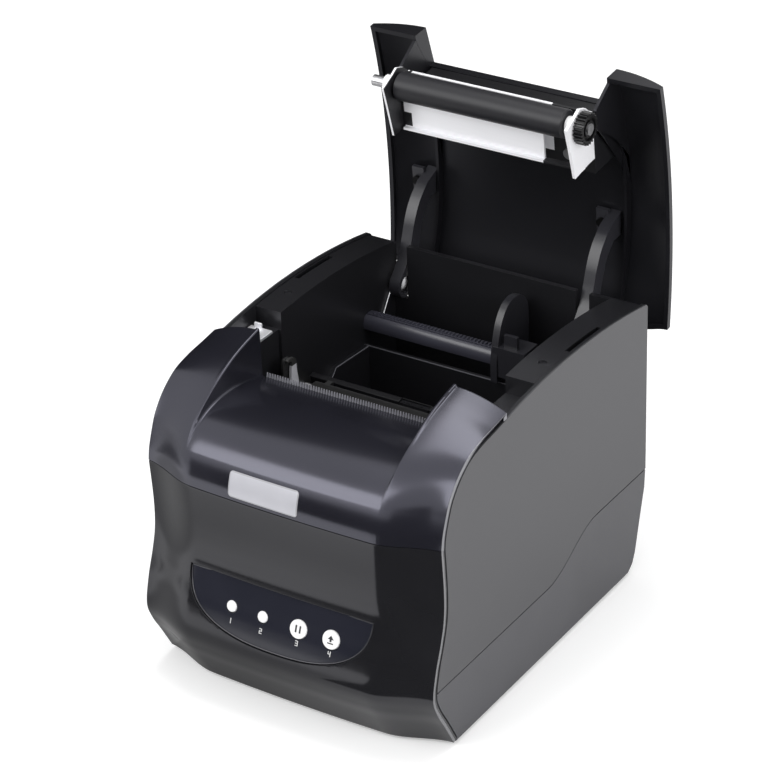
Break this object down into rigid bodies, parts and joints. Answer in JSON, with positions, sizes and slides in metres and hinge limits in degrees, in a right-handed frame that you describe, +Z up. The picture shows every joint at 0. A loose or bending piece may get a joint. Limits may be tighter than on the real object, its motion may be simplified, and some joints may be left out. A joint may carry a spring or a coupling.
{
  "type": "receipt printer",
  "caption": "Desktop thermal receipt printer with a lift-up lid that carries the platen, a drop-in roll bay with a sliding guide, a tear bar and a small key panel.",
  "frame": {"origin": "middle of the case's footprint on the plane the rubber feet stand on", "axes": "+X to the right of the key panel's face, +Y to the back, +Z up"},
  "size_m": [0.154, 0.2341, 0.2449],
  "materials": {
    "case_black": "gloss",
    "housing_grey": "satin, fine grain",
    "inner_black": "satin",
    "panel_navy": "gloss",
    "white_plastic": "gloss",
    "badge_silver": "satin",
    "zinc_sheet": "bright zinc",
    "steel": "ground",
    "screw_steel": "nickelled",
    "roller_rubber": "ground",
    "foot_rubber": "matt",
    "gear_plastic": "natural",
    "gear_black": "satin",
    "brass": "machined",
    "board_green": "solder mask",
    "chip_black": "matt",
    "head_ceramic": "glazed",
    "alloy": "die cast"
  },
  "bodies": {
    "case": {"base_case": "case_black", "mid_housing": "housing_grey", "front_cover": "case_black", "control_panel": "panel_navy", "badge_plate": "badge_silver", "lamp_lenses": "white_plastic", "panel_board": "board_green", "panel_switches": "chip_black", "tear_bar": "inner_black", "rubber_feet": "foot_rubber", "case_screws": "screw_steel", "main_board": "board_green", "board_parts": "chip_black", "board_screws": "screw_steel", "usb_socket": "zinc_sheet", "power_inlet": "chip_black", "port_plate": "zinc_sheet", "switch_bezel": "inner_black", "chassis": "zinc_sheet", "chassis_screws": "screw_steel", "catch_plate": "zinc_sheet", "head_rod": "steel", "head_springs": "steel", "stepper_motor": "zinc_sheet", "gear_studs": "steel", "paper_ramp": "inner_black", "paper_sensor": "chip_black", "guide_rail": "inner_black", "hinge_pins": "steel", "hinge_spring": "steel"},
    "lid": {"lid_shell": "housing_grey", "lid_frame": "inner_black", "hinge_arm_left": "inner_black", "hinge_arm_right": "inner_black", "arm_screws": "screw_steel", "frame_screws": "screw_steel", "platen_bracket": "zinc_sheet", "platen_bushings": "white_plastic"},
    "platen": {"platen_shaft": "steel", "platen_rubber": "roller_rubber", "platen_gear": "gear_black"},
    "pause_key": {"pause_button": "white_plastic"},
    "feed_key": {"feed_button": "white_plastic"},
    "rocker": {"power_rocker": "inner_black"},
    "guide": {"paper_guide": "inner_black"},
    "latch": {"latch_hooks": "zinc_sheet"},
    "head": {"print_head": "head_ceramic", "head_sink": "alloy"},
    "pinion": {"motor_pinion": "brass"},
    "reduction": {"reduction_gear": "gear_plastic"},
    "drive": {"drive_gear": "gear_plastic"}
  },
  "joints": [
    {"name": "lid_hinge", "type": "hinge", "parent": "case", "child": "lid", "pos_m": [0, 0.0933, 0.118], "axis": [1, 0, 0], "range_deg": [0, 84]},
    {"name": "platen_spin", "type": "hinge", "parent": "lid", "child": "platen", "pos_m": [0, 0.08379, 0.22761], "axis": [1, 0, 0], "continuous": true},
    {"name": "reduction_spin", "type": "hinge", "parent": "case", "child": "reduction", "pos_m": [0.0485, -0.02269, 0.09204], "axis": [1, 0, 0], "continuous": true},
    {"name": "drive_spin", "type": "hinge", "parent": "case", "child": "drive", "pos_m": [0.0485, -0.0167, 0.1038], "axis": [1, 0, 0], "continuous": true},
    {"name": "pinion_spin", "type": "hinge", "parent": "case", "child": "pinion", "pos_m": [0.0534, -0.03136, 0.08054], "axis": [1, 0, 0], "continuous": true},
    {"name": "pause_press", "type": "slide", "parent": "case", "child": "pause_key", "axis": [0, 0.9382, -0.3462], "range_m": [0, 0.0008], "stiffness_N_per_m": 400},
    {"name": "feed_press", "type": "slide", "parent": "case", "child": "feed_key", "axis": [0, 0.9382, -0.3462], "range_m": [0, 0.0008], "stiffness_N_per_m": 400},
    {"name": "rocker_tilt", "type": "hinge", "parent": "case", "child": "rocker", "pos_m": [-0.042, 0.093, 0.072], "axis": [1, 0, 0], "range_deg": [-14, 0]},
    {"name": "guide_slide", "type": "slide", "parent": "case", "child": "guide", "axis": [1, 0, 0], "range_m": [-0.06, 0.024]},
    {"name": "latch_tilt", "type": "hinge", "parent": "case", "child": "latch", "pos_m": [0, -0.0077, 0.1035], "axis": [1, 0, 0], "range_deg": [0, 12]},
    {"name": "head_tilt", "type": "hinge", "parent": "case", "child": "head", "pos_m": [0, 0.0033, 0.1065], "axis": [1, 0, 0], "range_deg": [0, 1.5], "stiffness_Nm_per_rad": 5, "deforming": ["head_springs"]}
  ],
  "couplings": [
    {"joint": "drive_spin", "follows": "reduction_spin", "ratio": -0.46667},
    {"joint": "pinion_spin", "follows": "reduction_spin", "ratio": -3}
  ]
}
